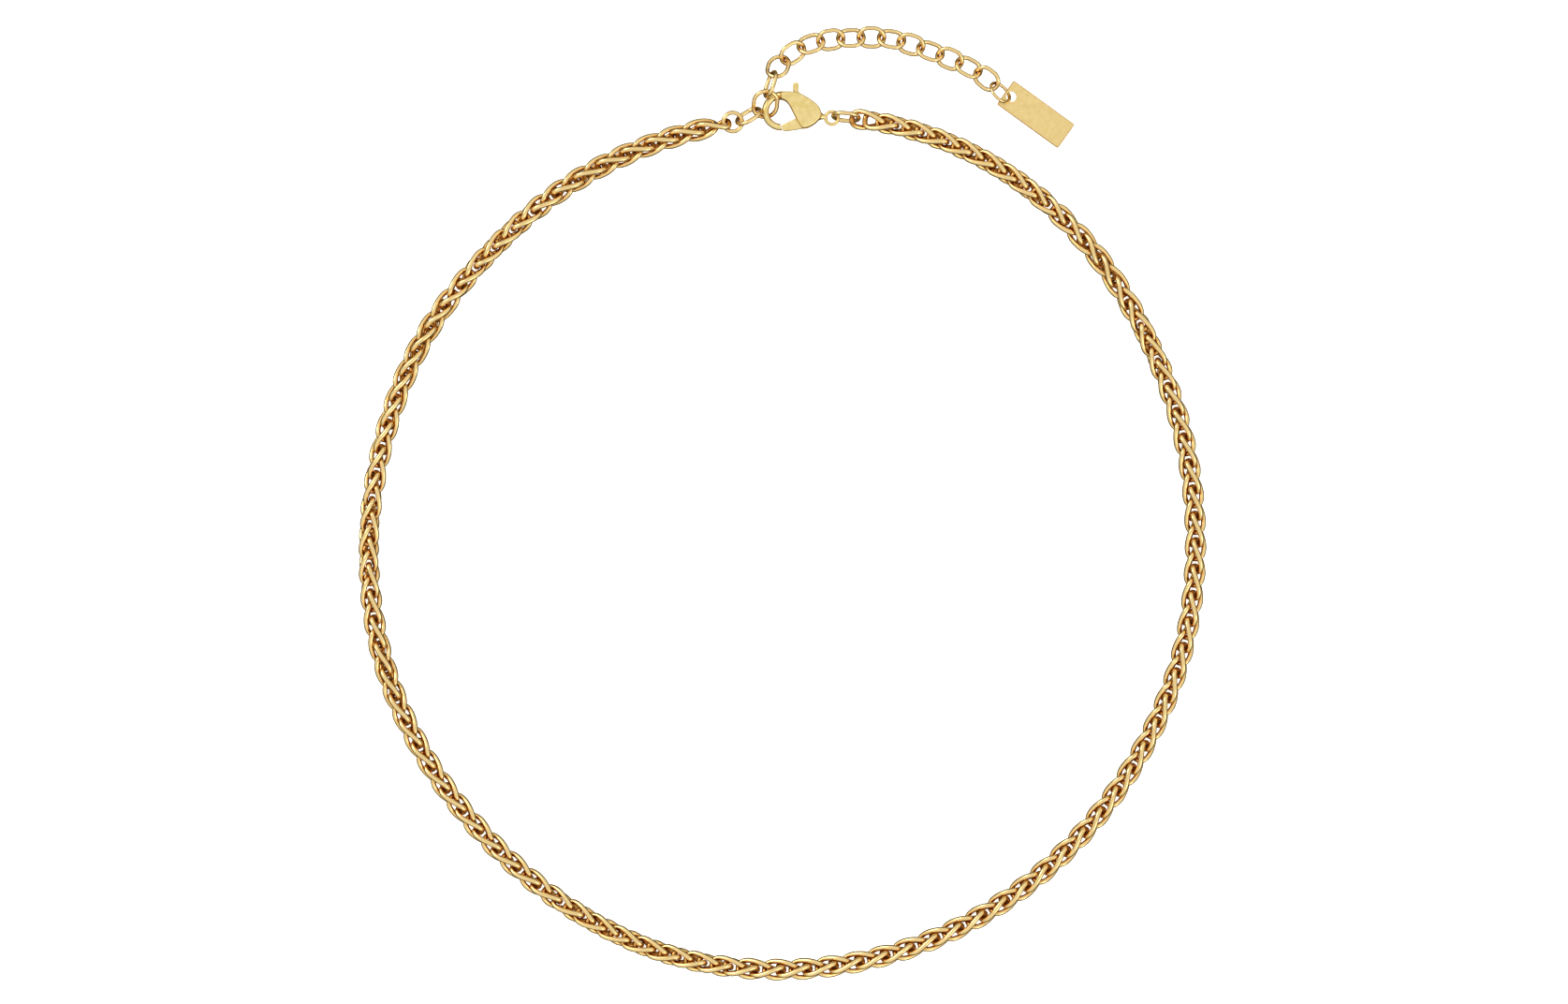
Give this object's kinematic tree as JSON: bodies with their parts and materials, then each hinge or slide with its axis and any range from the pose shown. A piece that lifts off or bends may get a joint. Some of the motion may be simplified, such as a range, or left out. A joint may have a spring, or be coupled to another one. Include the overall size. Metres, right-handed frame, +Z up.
{
  "type": "wheat chain necklace with an extender chain",
  "caption": "Gold-tone wheat chain necklace with a lobster clasp, and an extender chain that ends in a bare tag.",
  "frame": {"origin": "on the surface below the middle of the necklace's box, which is close to the middle of the neck ring", "axes": "+Z up from the surface that the necklace lies on, +Y towards the clasp, +X from the hook of the clasp towards its eye"},
  "size_m": [0.145, 0.163, 0.0051],
  "materials": {
    "chain_gold": "polished, light yellow gold tone",
    "satin_gold": "satin, light yellow gold tone"
  },
  "bodies": {
    "necklace": {"wheat_chain_right": "chain_gold", "wheat_chain_left": "chain_gold", "chain_first_link": "chain_gold", "chain_last_link": "chain_gold", "clasp_link": "chain_gold", "clasp_body": "satin_gold", "clasp_pin": "satin_gold", "catch_ring": "chain_gold", "joining_link": "chain_gold", "end_ring": "chain_gold", "extender_link_01": "chain_gold", "extender_link_02": "chain_gold", "extender_link_03": "chain_gold", "extender_link_04": "chain_gold", "extender_link_05": "chain_gold", "extender_link_06": "chain_gold", "extender_link_07": "chain_gold", "extender_link_08": "chain_gold", "extender_link_09": "chain_gold", "extender_link_10": "chain_gold", "extender_link_11": "chain_gold", "extender_link_12": "chain_gold", "extender_link_13": "chain_gold", "tag_ring": "chain_gold", "tag": "satin_gold"},
    "lever": {"clasp_lever": "satin_gold"}
  },
  "joints": [
    {"name": "lever_hinge", "type": "hinge", "parent": "necklace", "child": "lever", "pos_m": [0.00402, 0.06548, 0.00159], "axis": [0, 0, -1], "range_deg": [0, 24], "stiffness_Nm_per_rad": 0.01, "springref_deg": -17.19}
  ]
}
